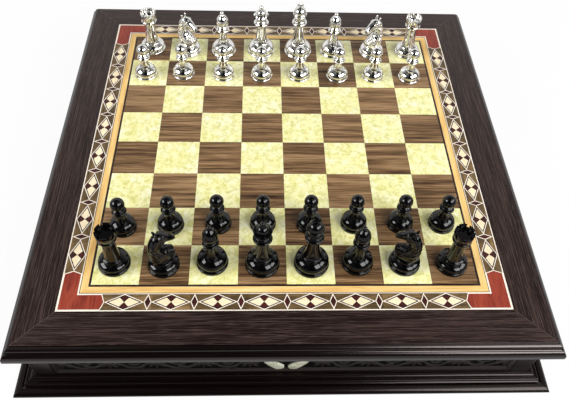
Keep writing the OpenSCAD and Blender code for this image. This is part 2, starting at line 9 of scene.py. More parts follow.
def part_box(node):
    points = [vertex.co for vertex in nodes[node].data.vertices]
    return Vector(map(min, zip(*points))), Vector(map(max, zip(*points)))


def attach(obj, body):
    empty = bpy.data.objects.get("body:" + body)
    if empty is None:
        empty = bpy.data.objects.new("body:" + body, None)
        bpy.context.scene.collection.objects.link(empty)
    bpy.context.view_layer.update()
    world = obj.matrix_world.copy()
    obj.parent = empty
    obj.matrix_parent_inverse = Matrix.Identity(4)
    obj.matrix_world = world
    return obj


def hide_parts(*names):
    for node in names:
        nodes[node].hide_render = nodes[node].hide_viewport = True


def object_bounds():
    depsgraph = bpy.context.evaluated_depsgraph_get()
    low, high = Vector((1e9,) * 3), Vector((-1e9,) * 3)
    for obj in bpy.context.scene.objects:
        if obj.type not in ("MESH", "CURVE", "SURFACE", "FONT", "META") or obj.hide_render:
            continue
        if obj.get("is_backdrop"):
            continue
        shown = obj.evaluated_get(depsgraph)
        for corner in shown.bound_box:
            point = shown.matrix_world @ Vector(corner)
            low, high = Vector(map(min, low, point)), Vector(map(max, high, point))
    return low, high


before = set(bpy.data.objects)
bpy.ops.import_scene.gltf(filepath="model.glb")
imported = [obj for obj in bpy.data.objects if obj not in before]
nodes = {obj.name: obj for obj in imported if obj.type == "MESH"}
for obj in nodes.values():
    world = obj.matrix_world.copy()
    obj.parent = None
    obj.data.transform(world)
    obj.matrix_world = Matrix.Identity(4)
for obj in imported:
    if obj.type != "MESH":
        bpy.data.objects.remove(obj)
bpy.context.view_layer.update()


# ---------------------------------------------------------------- the view
# The camera stands in front of the box and looks down at the board, with the
# king's rows running across. It leans a little to the left.
CAMERA_PLACE = Vector((-0.0255, -0.4606, 0.5679))
CAMERA_TURN = 3.83
CAMERA_DOWN = 51.97
CAMERA_LEAN = 3.165
CAMERA_LENS = 39.65
CAMERA_SENSOR = 36


def placed(name, data):
    """A new object in the scene."""
    obj = bpy.data.objects.new(name, data)
    bpy.context.scene.collection.objects.link(obj)
    return obj


def spin(degrees, axis, size=4):
    """A turn about an axis."""
    return Matrix.Rotation(math.radians(degrees), size, axis)


camera = placed("camera", bpy.data.cameras.new("camera"))
camera.data.lens = CAMERA_LENS
camera.data.sensor_width = CAMERA_SENSOR
camera.matrix_world = (
    Matrix.Translation(CAMERA_PLACE) @ spin(-CAMERA_TURN, "Z")
    @ spin(90 - CAMERA_DOWN, "X") @ spin(CAMERA_LEAN, "Z")
)
bpy.context.scene.camera = camera
bpy.context.scene.view_settings.view_transform = "Standard"


# ---------------------------------------------------------------- the room
# A white table that runs out to a white backdrop, under a darker ceiling. A soft
# lamp stands on the left, one on the right, and a larger one high at the front right.
TABLE_HALF = 9.0
TABLE_WHITE = (0.86, 0.86, 0.86)
TABLE_BOUNCE = (0.20, 0.20, 0.20)
TABLE_IN_GLOSS = 0.6
TABLE_FADE = 0.5, 2.6
TABLE_NEAR = 0.93
ROOM_LEVEL = 0.235
WHITE = (1, 1, 1, 1)


def feed(tree, node, feeds):
    """Sets a node's inputs, given as numbers, colours or outputs, and gives its outputs."""
    for name, value in feeds.items():
        if isinstance(value, bpy.types.NodeSocket):
            tree.links.new(value, node.inputs[name])
        else:
            node.inputs[name].default_value = value
    return node.outputs


def add(tree, kind, feeds=None, **settings):
    """Puts a node in a tree, with its settings and its inputs, and gives its outputs."""
    node = tree.nodes.new("ShaderNode" + kind)
    for name, value in settings.items():
        setattr(node, name, value)
    return feed(tree, node, feeds or {})


def math_of(tree, operation, *values):
    """The result of one sum on numbers."""
    return add(tree, "Math", dict(enumerate(values)), operation=operation)[0]


def spread(tree, value, low, high, start=0.0, end=1.0):
    """Runs from start, where a value is low, to end, where it is high."""
    return add(tree, "MapRange", {0: value, 1: low, 2: high, 3: start, 4: end})[0]


def ramp(tree, value, stops):
    """A colour that runs through stops, each a position and a colour."""
    node = tree.nodes.new("ShaderNodeValToRGB")
    points = node.color_ramp.elements
    while len(points) < len(stops):
        points.new(0.5)
    for point, (position, colour) in zip(points, stops):
        point.position = position
        point.color = (*colour, 1)
    return feed(tree, node, {0: value})[0]


def backdrop_share(tree, in_gloss=1.0):
    """1 for the rays that show the backdrop: those of the camera and of glass, and in
    part those of gloss."""
    path = add(tree, "LightPath")
    gloss = math_of(tree, "MULTIPLY_ADD", path["Is Glossy Ray"], in_gloss, path["Is Camera Ray"])
    return add(tree, "Clamp", {0: math_of(tree, "ADD", gloss, path["Is Transmission Ray"])})[0]


floor_mesh = bpy.data.meshes.new("floor")
corners = [(x * TABLE_HALF, y * TABLE_HALF, 0) for x, y in ((-1, -1), (1, -1), (1, 1), (-1, 1))]
floor_mesh.from_pydata(corners, [], [(0, 1, 2, 3)])
floor = placed("floor", floor_mesh)
floor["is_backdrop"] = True
table_white = bpy.data.materials.new("table_white")
table_white.use_nodes = True
tree = table_white.node_tree
tree.nodes.clear()
paper = ramp(tree, add(tree, "LightPath")["Is Camera Ray"], [(0, TABLE_BOUNCE), (1, TABLE_WHITE)])
lit = add(tree, "BsdfDiffuse", {"Color": paper})
white = add(tree, "Emission", {"Color": WHITE, "Strength": 1.0})
# Far out, the table runs into the white of the backdrop
far = add(tree, "VectorMath", {0: add(tree, "TexCoord")["Object"]}, operation="LENGTH")["Value"]
paleness = spread(tree, far, *TABLE_FADE, TABLE_NEAR, 1.0)
share = math_of(tree, "MULTIPLY", backdrop_share(tree, TABLE_IN_GLOSS), paleness)
mixed = add(tree, "MixShader", {0: share, 1: lit[0], 2: white[0]})
add(tree, "OutputMaterial", {"Surface": mixed[0]})
floor_mesh.materials.append(table_white)

world = bpy.data.worlds.new("room")
world.use_nodes = True
bpy.context.scene.world = world
tree = world.node_tree
tree.nodes.clear()
way = add(tree, "SeparateXYZ", {0: add(tree, "TexCoord")["Generated"]})
# The white sheet reaches higher behind the box than in front of it
behind = spread(tree, way["Y"], 0.2, 0.6, 0.02, 0.70)
edge = spread(tree, math_of(tree, "SUBTRACT", way["Z"], behind), -0.04, 0.06)
# High up to the left and right the room is lighter than over the camera
sideways = math_of(tree, "ABSOLUTE", way["X"])
back_glow = spread(tree, way["Y"], 0.15, 0.5, 0.07, 0.45)
glow = spread(tree, sideways, 0.15, 0.45, 0.008, back_glow)
# Dim light patches overhead, the right one brighter, draw the round edges
slant = spread(tree, way["X"], -0.3, 0.35, 0.2, 1.1)
flanks = spread(tree, sideways, 0.12, 0.30, 0.02, 1.0)
high_up = spread(tree, way["Z"], 0.84, 0.92)
not_back = spread(tree, way["Y"], 0.08, 0.24, 1.0, 0.0)
patch = math_of(tree, "MULTIPLY", slant, flanks)
there = math_of(tree, "MULTIPLY", high_up, not_back)
ceiling = math_of(tree, "MULTIPLY_ADD", patch, there, glow)
walls = add(tree, "Mix", {"Factor": edge, "A": 1.0, "B": ceiling})[0]
shown = math_of(tree, "MAXIMUM", walls, add(tree, "LightPath")["Is Camera Ray"])
seen = add(tree, "Background", {"Color": shown, "Strength": 1.0})
soft = add(tree, "Background", {"Color": WHITE, "Strength": ROOM_LEVEL})
mixed = add(tree, "MixShader", {0: backdrop_share(tree), 1: soft[0], 2: seen[0]})
add(tree, "OutputWorld", {"Surface": mixed[0]})

LAMP_AIM = Vector((0, 0, 0.08))
for name, place, size, watts in (
    ("left_lamp", (-1.25, -0.35, 0.95), (0.85, 0.64), 16.5),
    ("right_lamp", (1.25, -0.35, 0.95), (0.80, 0.60), 11),
    ("front_lamp", (0.88, -1.12, 1.25), (0.82, 0.92), 21),
):
    light = bpy.data.lights.new(name, "AREA")
    light.shape = "RECTANGLE"
    light.size, light.size_y = size
    light.energy = watts
    lamp = placed(name, light)
    lamp.location = place
    lamp.rotation_mode = "QUATERNION"
    lamp.rotation_quaternion = (LAMP_AIM - Vector(place)).to_track_quat("-Z", "Y")


# ---------------------------------------------------------------- base moulding
# Four mitred lengths of dark, fine-grained wood that carry the carcase, painted almost
# black as shade and finished with a satin lacquer.
MM = 0.001
WENGE_DARK = (0.0062, 0.0027, 0.0024)
WENGE_MID = (0.0170, 0.0086, 0.0074)
WENGE_PALE = (0.060, 0.037, 0.031)
WENGE_PORE = (0.085, 0.058, 0.048)
WENGE_GLOSS_TINT = (1.0, 0.87, 0.85, 1)
MITRE_LINE = (0.11, 0.085, 0.070, 1)
# Colours of the painted shade on moulded edges and sides, near black
SHADED_EDGE_DARK = (0.0018, 0.0009, 0.0009)
SHADED_EDGE_PALE = (0.0040, 0.0020, 0.0018)
TOP_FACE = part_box("frame_rails")[1][2]
# The wood of a mitred frame starts this many metres further on in its side pieces
NEXT_PIECE = 1.37


def new_group(name, inputs, outputs):
    """An empty node group. inputs and outputs map a socket's name to its kind or value."""
    group = bpy.data.node_groups.new(name, "ShaderNodeTree")
    for socket, value in inputs.items():
        kind = "NodeSocketFloat" if isinstance(value, (int, float)) else value
        made = group.interface.new_socket(socket, in_out="INPUT", socket_type=kind)
        if isinstance(value, (int, float)):
            made.default_value = value
    for socket, kind in outputs.items():
        group.interface.new_socket(socket, in_out="OUTPUT", socket_type=kind)
    start = group.nodes.new("NodeGroupInput").outputs
    end = group.nodes.new("NodeGroupOutput").inputs
    return group, start, end


def use(tree, group, feeds=None):
    """Places a node group in a material."""
    return add(tree, "Group", feeds, node_tree=group)


def vector_of(tree, operation, *values):
    """The result of one sum on vectors."""
    return add(tree, "VectorMath", dict(enumerate(values)), operation=operation)[0]


def scaled(tree, vector, factor):
    """A vector or a colour times a factor."""
    return add(tree, "VectorMath", {0: vector, "Scale": factor}, operation="SCALE")[0]


# Millimetres along and across a mitred frame, X along the piece, and its glue lines
mitred_run, start, end = new_group(
    "mitred_run", {}, {"Vector": "NodeSocketVector", "Joint": "NodeSocketFloat"},
)
place = add(mitred_run, "TexCoord")["Object"]
across = add(mitred_run, "SeparateXYZ", {0: place})
half_x = math_of(mitred_run, "ABSOLUTE", across["X"])
half_y = math_of(mitred_run, "ABSOLUTE", across["Y"])
is_side = math_of(mitred_run, "GREATER_THAN", half_x, half_y)
apart = math_of(mitred_run, "ABSOLUTE", math_of(mitred_run, "SUBTRACT", half_x, half_y))
mitred_run.links.new(spread(mitred_run, apart, 0.2 * MM, 0.6 * MM, 0.5, 0.0), end["Joint"])
swapped = add(mitred_run, "CombineXYZ", {0: across["Y"], 1: across["X"], 2: across["Z"]})[0]
chosen = add(mitred_run, "Mix", {"Factor": is_side, "A": place, "B": swapped}, data_type="VECTOR")
jump = math_of(mitred_run, "MULTIPLY", is_side, NEXT_PIECE)
moved = vector_of(mitred_run, "ADD", chosen["Result"], jump)
mitred_run.links.new(scaled(mitred_run, moved, 1 / MM), end["Vector"])

# The figure of wood whose grain runs along X: fine fibres, broad bands and pores
wood_figure, start, end = new_group(
    "wood_figure",
    {"Vector": "NodeSocketVector", "Fibre length": 60.0, "Fibre width": 0.8,
     "Band length": 160.0, "Band width": 6.0, "Pore length": 5.0, "Pore width": 0.35},
    {"Fibres": "NodeSocketFloat", "Bands": "NodeSocketFloat", "Pores": "NodeSocketFloat"},
)
for mark, detail, rough, warp in (
    ("Fibre", 3.0, 0.6, 0.0),
    ("Band", 3.0, 0.5, 0.6),
    ("Pore", 1.0, 0.55, 0.0),
):
    long, wide = start[f"{mark} length"], start[f"{mark} width"]
    stretch = add(wood_figure, "CombineXYZ", {0: long, 1: wide, 2: wide})[0]
    noise = add(wood_figure, "TexNoise", {
        "Vector": vector_of(wood_figure, "DIVIDE", start["Vector"], stretch),
        "Scale": 1.0, "Detail": detail, "Roughness": rough, "Distortion": warp,
    })[0]
    if mark == "Pore":
        noise = spread(wood_figure, noise, 0.60, 0.70)
    wood_figure.links.new(noise, end[f"{mark}s"])


def grain_run(tree, axis=None):
    """Millimetres with X along the grain, which runs along an axis, or along each piece
    of a mitred frame."""
    if axis is None:
        return use(tree, mitred_run)["Vector"]
    quarter = math.radians(90)
    turn = {"X": (0, 0, 0), "Y": (0, 0, quarter), "Z": (0, quarter, 0)}[axis]
    place = add(tree, "TexCoord")["Object"]
    return add(tree, "Mapping", {"Vector": place, "Rotation": turn, "Scale": (1 / MM, 1 / MM, 1 / MM)})[0]


def new_material(name, **sockets):
    """A material with one Principled shader, whose plain sockets are set here."""
    material = bpy.data.materials.new(name)
    material.use_nodes = True
    tree = material.node_tree
    shader = tree.nodes["Principled BSDF"]
    feed(tree, shader, {socket.replace("_", " "): value for socket, value in sockets.items()})
    return material, tree, shader


def mixed_colour(tree, share, first, second):
    """The first colour where a share is 0, and the second where it is 1."""
    return add(tree, "Mix", {"Factor": share, "A": first, "B": second}, data_type="RGBA")["Result"]


def raised(tree, height, depth):
    """The normal of a relief of a depth in metres, where height goes from 0 to 1."""
    return add(tree, "Bump", {"Height": height, "Distance": depth, "Strength": 1.0})[0]


def figure_shade(tree, figure, bands, fibres):
    """The bands and the fibres of a wood in one value, each with its weight."""
    return math_of(tree, "MULTIPLY_ADD", figure["Bands"], bands,
                   math_of(tree, "MULTIPLY", figure["Fibres"], fibres))


def wenge(name, axis=None, painted_shade_dark=SHADED_EDGE_DARK, painted_shade_pale=SHADED_EDGE_PALE, edge_rough=0.19, edge_gloss=0.5):
    """Stained dark wood, with its grain along axis, or along each piece of a mitred frame.
    Moulded edges and sides are painted near black as shade and hide the grain; they take
    more polish than the flat top."""
    material, tree, shader = new_material(name, Specular_Tint=WENGE_GLOSS_TINT)
    figure = use(tree, wood_figure, {
        "Vector": grain_run(tree, axis), "Fibre length": 46.0, "Fibre width": 0.62,
        "Band length": 150.0, "Band width": 9.0, "Pore length": 14.0, "Pore width": 0.6,
    })
    shade = figure_shade(tree, figure, 0.15, 0.95)
    stained = ramp(tree, shade, [(0.44, WENGE_DARK), (0.56, WENGE_MID), (0.68, WENGE_PALE)])
    in_pores = ramp(tree, figure["Bands"], [(0.3, WENGE_PORE), (0.7, WENGE_PALE)])
    grained = mixed_colour(tree, math_of(tree, "MULTIPLY", figure["Pores"], 0.7), stained, in_pores)
    glued = mixed_colour(tree, use(tree, mitred_run)["Joint"], grained, MITRE_LINE)
    # Only the flat top, where it faces up, shows the stain; every other face gets the painted shade
    coords = add(tree, "TexCoord")
    level = add(tree, "SeparateXYZ", {0: coords["Object"]})["Z"]
    on_top = spread(tree, level, TOP_FACE - 1.2 * MM, TOP_FACE - 0.6 * MM)
    faces_up = spread(tree, add(tree, "SeparateXYZ", {0: coords["Normal"]})["Z"], 0.80, 0.97)
    flat = math_of(tree, "MULTIPLY", on_top, faces_up)
    edges = ramp(tree, shade, [(0.4, painted_shade_dark), (0.62, painted_shade_pale)])
    rubbed = spread(tree, figure["Fibres"], 0.3, 0.7, 0.27, 0.40)
    height = math_of(tree, "ADD", figure["Fibres"], math_of(tree, "MULTIPLY", figure["Pores"], -0.5))
    feed(tree, shader, {
        "Base Color": mixed_colour(tree, flat, edges, glued),
        "Specular IOR Level": spread(tree, flat, 0, 1, edge_gloss, 0.33),
        "Roughness": spread(tree, flat, 0, 1, edge_rough, rubbed),
        "Normal": raised(tree, math_of(tree, "MULTIPLY", height, flat), 0.06 * MM),
    })
    return material


def box_mm(node):
    """A node's lowest and highest corners in millimetres."""
    return [[v / MM for v in corner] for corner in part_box(node)]


def arc(x, z, wide, high, start, stop, steps=16):
    """Points along an arc of an ellipse round (x, z)."""
    turn = [math.radians(start + (stop - start) * i / steps) for i in range(steps + 1)]
    return [(x + wide * math.cos(a), z + high * math.sin(a)) for a in turn]


def round_arrises(obj, width, segments, angle):
    """Rounds the edges that are sharper than an angle, by a width in millimetres."""
    rounding = obj.modifiers.new("rounding", "BEVEL")
    rounding.width, rounding.segments = width * MM, segments
    rounding.limit_method, rounding.angle_limit = "ANGLE", math.radians(angle)
    rounding.harden_normals = True


def mitred_lengths(node, reach, profile, material):
    """Four mitred lengths of a moulding. Its profile is in shares of the height, and of
    how far the moulded edge reaches out in millimetres."""
    low, high = box_mm(node)
    outline = [(high[0] - reach + reach * x, low[2] + (high[2] - low[2]) * z) for x, z in profile]
    built = bmesh.new()
    count = len(outline)
    for side in range(4):
        turn = spin(90 * side, "Z", 3)
        left, right = [[built.verts.new(turn @ Vector((way * x, -x, z)) * MM) for x, z in outline]
                       for way in (-1, 1)]
        for i in range(count):
            k = (i + 1) % count
            built.faces.new((left[i], left[k], right[k], right[i]))
        built.faces.new(left)
        built.faces.new(list(reversed(right)))
    bmesh.ops.recalc_face_normals(built, faces=built.faces)
    mesh = bpy.data.meshes.new(f"{node}_lengths")
    built.to_mesh(mesh)
    built.free()
    mesh.shade_smooth()
    mesh.materials.append(material)
    obj = placed(f"{node}_lengths", mesh)
    round_arrises(obj, 0.25, 2, 28)
    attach(obj, "box")
    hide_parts(node)


# From the floor up: a rounded nose, a full ovolo, a quirk, a bead and a cove
wenge_base = wenge("wenge_base", edge_gloss=0.28)
BASE_REACH = 18
mitred_lengths("base_moulding", BASE_REACH, (
    [(-1, 0), (0.90, 0)]
    + arc(0.90, 0.16, 0.10, 0.16, -80, 0, 8)
    + arc(0.52, 0.20, 0.48, 0.34, 4, 78, 20)
    + [(0.58, 0.49), (0.52, 0.47)]
    + arc(0.40, 0.65, 0.085, 0.13, -60, 130, 16)
    + arc(0.335, 1, 0.19, 0.19, 270, 182, 12)
    + [(0.1, 1), (-1, 1)]
), wenge_base)


# ---------------------------------------------------------------- frame and carcase
# Four mitred rails with a moulded edge, glued round the board, stand on four plain
# corner posts. Rails, posts, panels, drawer fronts and lines are of the same dark wood.
RAIL_EDGE = 8.5
RAIL_FLAT = 31.6
# A satin finish: the darkest and the palest colour of a painted shade over the stain, and the roughness
SHADED_SATIN = (0.0060, 0.0042, 0.0040), (0.0120, 0.0085, 0.0080), 0.42


def finish_with(material, *names):
    """Gives CAD pieces their finish."""
    for name in names:
        nodes[name].data.materials.clear()
        nodes[name].data.materials.append(material)


def soften(name, width, segments=2):
    """Rounds the arrises of a CAD piece by a width in millimetres."""
    piece = nodes[name]
    weld = piece.modifiers.new("weld", "WELD")
    weld.merge_threshold = 0.02 * MM
    round_arrises(piece, width, segments, 35)
    piece.data.shade_smooth()


wenge_mitred = wenge("wenge_mitred", edge_gloss=0.62)
inner = -RAIL_FLAT / RAIL_EDGE
mitred_lengths("frame_rails", RAIL_EDGE, (
    [(inner, 0), (0.80, 0)]
    + arc(0.80, 0.16, 0.20, 0.16, -80, 0, 8)
    + arc(0.24, 0.30, 0.76, 0.34, 4, 60, 20)
    + [(0.52, 0.58), (0.44, 0.60), (0.46, 0.66)]
    + arc(-0.08, 0.73, 0.57, 0.18, 10, 82, 20)
    + [(0, 0.91), (0, 1), (inner, 1)]
), wenge_mitred)
# Posts, side panels, drawer fronts and lines are shaded copies of the wenge, painted darker than the top
finish_with(wenge("wenge_upright", "Z", *SHADED_SATIN), "corner_posts")
finish_with(wenge("wenge_deep", "Y", *SHADED_SATIN), "carved_side_panels")
finish_with(wenge("wenge_across", "X", *SHADED_SATIN), "front_drawer_front", "back_drawer_front", "dark_lines")
soften("corner_posts", 0.4)


# ---------------------------------------------------------------- the carved fields
# The drawer fronts and the side panels have a sunk field, cut with a running scroll
# of stems that roll up round rosettes, with leaves in the corners between them.
FIELD_BORDER = 5
FIELD_DEPTH = 2
FIELD_TUCK = 1.2
CUT_STEP = 0.75
VEIN = 0.22
BAY = 42
FIRST_BAY = 54
BAYS = 4
ROLL_WIDE = 0.30 * BAY
ROLL_EYE = 3.6
ROLL_OFF = 2.2
ROLL_THICK = 2.35
ROLL_TAPER = 0.9
ROLL_STEPS = 149
STEM_THICK = 2.2
LEAF_OUT = 11
LEAF_STEPS = 24


def leaf_line(x, z, angle, length, width, curl=0.0):
    """Points x, z and radius along a pointed leaf that starts at x, z and may curl."""
    line = []
    for i in range(LEAF_STEPS + 1):
        t = i / LEAF_STEPS
        line.append((x, z, 0.15 + width * math.sin(math.pi * t ** 0.7)))
        way = math.radians(angle + curl * t)
        x += math.cos(way) * length / LEAF_STEPS
        z += math.sin(way) * length / LEAF_STEPS
    return line


def spray(x, z, angle, size):
    """Five pointed leaves that fan out from a point."""
    return [leaf_line(x, z, angle + 36 * k, size * (1 - 0.12 * abs(k)), 0.17 * size, 14 * k)
            for k in (-2, -1, 0, 1, 2)]


def near_by(middle, r):
    """The steps of the cutting grid within a distance of a middle."""
    return slice(max(0, int((middle - r) / CUT_STEP)), int((middle + r) / CUT_STEP) + 2)


def mesh_of(name, points, faces, sharp=40):
    """A mesh in metres from points in millimetres, shaded smooth up to an angle."""
    mesh = bpy.data.meshes.new(name)
    mesh.from_pydata([Vector(p) * MM for p in points], [], faces)
    mesh.validate()
    mesh.shade_smooth()
    if sharp:
        mesh.set_sharp_from_angle(angle=math.radians(sharp))
    return mesh


def carved_field(name, tall, leaves_below):
    """The relief in a field, its middle at x = 0 and the foot of its board at z = 0."""
    mid = tall / 2
    swing = mid - FIELD_BORDER - 3.2
    half = FIRST_BAY + (BAYS - 0.5) * BAY + 4
    cols = np.arange(0, half, CUT_STEP)
    rows = np.arange(FIELD_BORDER - FIELD_TUCK, tall - FIELD_BORDER + FIELD_TUCK, CUT_STEP)
    across, up = np.meshgrid(cols, rows)
    height = np.zeros_like(across)

    def carve(lines, high, vein=0.0):
        """Raises a rounded ridge along each line, with a vein cut along its middle."""
        for line in lines:
            for x, z, r in line:
                near = (near_by(z - rows[0], r), near_by(x, r))
                apart = np.hypot(across[near] - x, up[near] - z) / r
                ridge = high * np.sqrt(np.clip(1 - apart ** 2, 0, 1))
                ridge *= 1 - vein * np.exp(-(apart / VEIN) ** 2)
                height[near] = np.maximum(height[near], ridge)

    for bay in range(BAYS):
        x = FIRST_BAY + bay * BAY
        way = 1 if bay % 2 == 0 else -1
        eye = mid - way * ROLL_OFF
        roll = []
        for i in range(ROLL_STEPS + 1):
            t = i / ROLL_STEPS
            turn = math.radians(180 + way * (-20 + 520 * t))
            radius = ROLL_EYE + (ROLL_WIDE - ROLL_EYE) * (1 - t) ** 0.8
            thick = ROLL_THICK - ROLL_TAPER * t
            roll.append((x + radius * math.cos(turn), eye + radius * math.sin(turn), thick))
        carve([roll], 1.5)
        for k in range(3):
            turn = 180 + way * (40 + 110 * k)
            leaf_x = x + LEAF_OUT * math.cos(math.radians(turn))
            leaf_z = eye + LEAF_OUT * math.sin(math.radians(turn))
            carve([leaf_line(leaf_x, leaf_z, turn + way * 58, 9.5, 2.6, way * 46)], 1.75, 0.5)
        carve([leaf_line(x, eye, 72 * k + 18, 4.4, 1.5) for k in range(5)], 1.6, 0.35)
        carve([[(x, eye, 1.2)]], 1.95)
    stem = []
    for x in np.arange(FIRST_BAY - BAY / 2, FIRST_BAY + (BAYS - 0.5) * BAY, 0.4):
        stem.append((x, mid + swing * math.cos(math.pi * (x - FIRST_BAY) / BAY), STEM_THICK))
    carve([stem], 1.7, 0.25)
    for edge in range(BAYS + 1):
        x = FIRST_BAY + (edge - 0.5) * BAY
        for way in (-1, 1):
            carve(spray(x, mid + way * 3.2, 90 * way, min(12.5, mid - 7)), 1.85, 0.45)
    carve(spray(0, mid + 3 if leaves_below else mid - 8, 90, 14), 1.9, 0.45)
    carve(spray(14, mid + 9 if leaves_below else mid, 150, 9), 1.6, 0.4)
    if not leaves_below:
        carve(spray(0, mid - 6, -90, 11), 1.8, 0.45)
    # The outer row of points dips into the board, and no ridge stands out of the field
    rim = np.minimum(np.minimum(up - rows[0], rows[-1] - up), half - across)
    height = np.where(rim < 0.5 * CUT_STEP, -0.4, np.minimum(height, FIELD_DEPTH - 0.12) + 0.04)
    both = np.hstack([height[:, :0:-1], height])
    wide = np.concatenate([-cols[:0:-1], cols])
    points = [(x, FIELD_DEPTH - both[j, i], z) for j, z in enumerate(rows) for i, x in enumerate(wide)]
    count = len(wide)
    faces = [(j * count + i, j * count + i + 1, (j + 1) * count + i + 1, (j + 1) * count + i)
             for j in range(len(rows) - 1) for i in range(count - 1)]
    return mesh_of(name, points, faces, sharp=None)


# Painted shade: the ground of the carving is painted near black and the raised work paler, by how deep each
# point lies
CARVED_SHADE_STOPS = [
    (0.10, (0.0012, 0.0009, 0.0008)), (0.45, (0.004, 0.0028, 0.0026)),
    (0.75, (0.011, 0.0080, 0.0074)), (1.0, (0.018, 0.0132, 0.0120)),
]
carved_wood, tree, shader = new_material("wenge_carved", Specular_IOR_Level=0.45)
place = add(tree, "TexCoord")["Object"]
# 1 on the raised work and 0 deep in the ground, where the painted shade is darkest
out_of_painted_shade = spread(tree, add(tree, "SeparateXYZ", {0: place})["Y"], 0.3 * MM, 1.7 * MM, 1.0, 0.0)
pits = add(tree, "TexNoise", {"Vector": place, "Scale": 1400.0, "Detail": 2.0})[0]
shade = math_of(tree, "ADD", out_of_painted_shade, math_of(tree, "MULTIPLY", pits, 0.2))
feed(tree, shader, {
    "Base Color": ramp(tree, shade, CARVED_SHADE_STOPS),
    "Specular IOR Level": spread(tree, out_of_painted_shade, 0, 1, 0.1, 0.36),
    "Roughness": spread(tree, out_of_painted_shade, 0, 1, 0.6, 0.3),
})

for node, body, turns in (
    ("front_drawer_front", "front_drawer", (0,)),
    ("back_drawer_front", "back_drawer", (180,)),
    ("carved_side_panels", "box", (-90, 90)),
):
    low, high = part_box(node)
    relief = carved_field(f"{node}_relief", (high[2] - low[2]) / MM, body != "box")
    relief.materials.append(carved_wood)
    reach = max(-low[1], high[1]) if body != "box" else high[0]
    for turn in turns:
        obj = placed(f"{node}_relief_{turn % 360}", relief)
        obj.matrix_world = spin(turn, "Z") @ Matrix.Translation(Vector((0, -reach, low[2])))
        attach(obj, body)
    soften(node, 0.3)


# ---------------------------------------------------------------- inner woodwork
# Plain beech, planed and left pale: the bottom board, the divider between the bays,
# the strips that the drawers run on, the core of the top, and the drawer boxes.
BEECH_STOPS = [(0.3, (0.44, 0.27, 0.14)), (0.5, (0.57, 0.37, 0.20)), (0.7, (0.66, 0.46, 0.27))]


def plain_wood(name, run, stops, fibre, band, shares, rough, depth, gloss=0.5, vary=None, tint=None):
    """Unstained wood. run gives millimetres along the grain, fibre and band the length
    and width of its marks; vary shifts the shade and tint the strength of the colour."""
    material, tree, shader = new_material(name, Specular_IOR_Level=gloss)
    figure = use(tree, wood_figure, {
        "Vector": run(tree), "Fibre length": fibre[0], "Fibre width": fibre[1],
        "Band length": band[0], "Band width": band[1],
    })
    shade = figure_shade(tree, figure, *shares)
    if vary:
        shade = math_of(tree, "ADD", shade, vary(tree))
    colour = ramp(tree, shade, stops)
    if tint:
        colour = scaled(tree, colour, tint(tree))
    feed(tree, shader, {
        "Base Color": colour,
        "Roughness": spread(tree, figure["Fibres"], 0.3, 0.7, *rough),
        "Normal": raised(tree, figure["Fibres"], depth),
    })
    return material


def beech(name, axis):
    """Planed beech with its grain along an axis."""
    return plain_wood(name, lambda tree: grain_run(tree, axis), BEECH_STOPS, (18.0, 0.9), (200.0, 12.0),
                      (0.6, 0.4), (0.5, 0.65), 0.08 * MM)


beech_across = beech("beech_across", "X")
beech_deep = beech("beech_deep", "Y")
finish_with(beech_across, "bottom_board", "bay_divider", "board_core")
finish_with(beech_deep, "drawer_runners")
for side in ("front", "back"):
    finish_with(beech_deep, f"{side}_drawer_sides")
    finish_with(beech_across, f"{side}_drawer_bottom")


# ---------------------------------------------------------------- the dark squares
# Thirty-two squares of sliced walnut veneer, laid with the grain across the board,
# each from another place in the wood.
SQUARE = 0.044
WOOD_RANGE = 900
WALNUT_STOPS = [
    (0.40, (0.022, 0.010, 0.004)), (0.49, (0.078, 0.038, 0.015)),
    (0.60, (0.192, 0.107, 0.046)), (0.70, (0.345, 0.212, 0.105)),
]


def chance_in(tree, place, size):
    """Random values that are the same all over each cell of a size."""
    cell = vector_of(tree, "FLOOR", vector_of(tree, "DIVIDE", place, size))
    return add(tree, "TexWhiteNoise", {"Vector": cell}, noise_dimensions="3D")


square_cell, start, end = new_group(
    "square_cell", {}, {"Vector": "NodeSocketVector", "Chance": "NodeSocketFloat"},
)
place = add(square_cell, "TexCoord")["Object"]
chance = chance_in(square_cell, place, (SQUARE, SQUARE, 1.0))
far = scaled(square_cell, chance["Color"], WOOD_RANGE)
moved = vector_of(square_cell, "ADD", scaled(square_cell, place, 1 / MM), far)
square_cell.links.new(moved, end["Vector"])
square_cell.links.new(chance["Value"], end["Chance"])


def in_squares(tree):
    """Millimetres along the grain of each square."""
    return use(tree, square_cell)["Vector"]


def square_shade(tree):
    """How much paler each square is than the darkest."""
    return math_of(tree, "MULTIPLY", use(tree, square_cell)["Chance"], 0.08)


finish_with(
    plain_wood("walnut_veneer", in_squares, WALNUT_STOPS, (34.0, 1.2), (110.0, 5.0), (0.55, 0.55),
               (0.34, 0.46), 0.05 * MM, 0.35, square_shade),
    "dark_squares",
)


# ---------------------------------------------------------------- the light squares
# Thirty-two squares of reconstituted mother-of-pearl, a creamy sheet of small clouds
# and flakes under a clear polish. The leaves let into the drawer fronts are of shell.
PEARL_STOPS = [
    (0.30, (0.56, 0.55, 0.18)), (0.44, (0.73, 0.70, 0.26)),
    (0.56, (0.83, 0.79, 0.33)), (0.70, (0.93, 0.90, 0.48)),
]
MILKY_STOPS = [
    (0.34, (0.60, 0.60, 0.26)), (0.46, (0.76, 0.74, 0.35)),
    (0.58, (0.87, 0.84, 0.46)), (0.70, (0.95, 0.93, 0.68)),
]
SHELL_STOPS = [(0.34, (0.42, 0.44, 0.28)), (0.48, (0.62, 0.63, 0.44)), (0.66, (0.84, 0.84, 0.66))]


